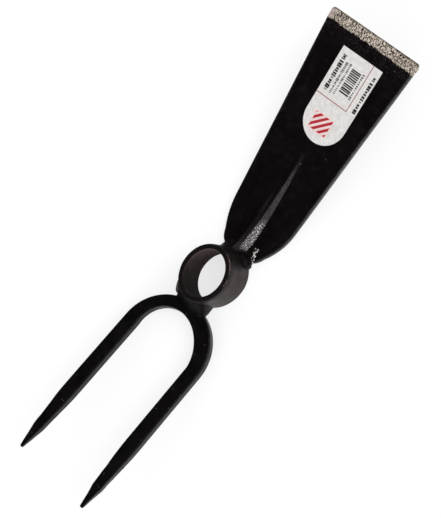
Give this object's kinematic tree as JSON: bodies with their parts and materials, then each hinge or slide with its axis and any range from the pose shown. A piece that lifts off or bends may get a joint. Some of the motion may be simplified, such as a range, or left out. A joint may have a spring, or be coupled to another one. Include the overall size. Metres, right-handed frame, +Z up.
{
  "type": "two-prong hoe",
  "caption": "Hand hoe head without its handle: a flared digging blade and a pronged fork welded to opposite sides of an oval handle eye, with a paper label on the blade.",
  "frame": {"origin": "centre of the handle eye, in the plane of its lower rim", "axes": "+Y from the eye to the cutting edge, -Y to the points of the prongs; +Z up the eye's axis, to the side that the blade and the prongs rise to; +X to the right"},
  "size_m": [0.0679, 0.3353, 0.0338],
  "materials": {
    "eye_paint": "satin black paint over rolled steel",
    "blade_paint": "satin black paint over forged steel, bare where the edge is ground",
    "fork_paint": "satin black paint over forged bar",
    "painted_weld": "black paint over rippled weld",
    "label_paper": "matt printed paper"
  },
  "bodies": {
    "root": {"eye_collar": "eye_paint", "blade": "blade_paint", "blade_weld_right": "painted_weld", "blade_weld_left": "painted_weld", "blade_weld_under": "painted_weld", "fork_bar": "fork_paint", "fork_weld_top": "painted_weld", "fork_weld_under": "painted_weld", "paper_label": "label_paper"}
  },
  "joints": []
}
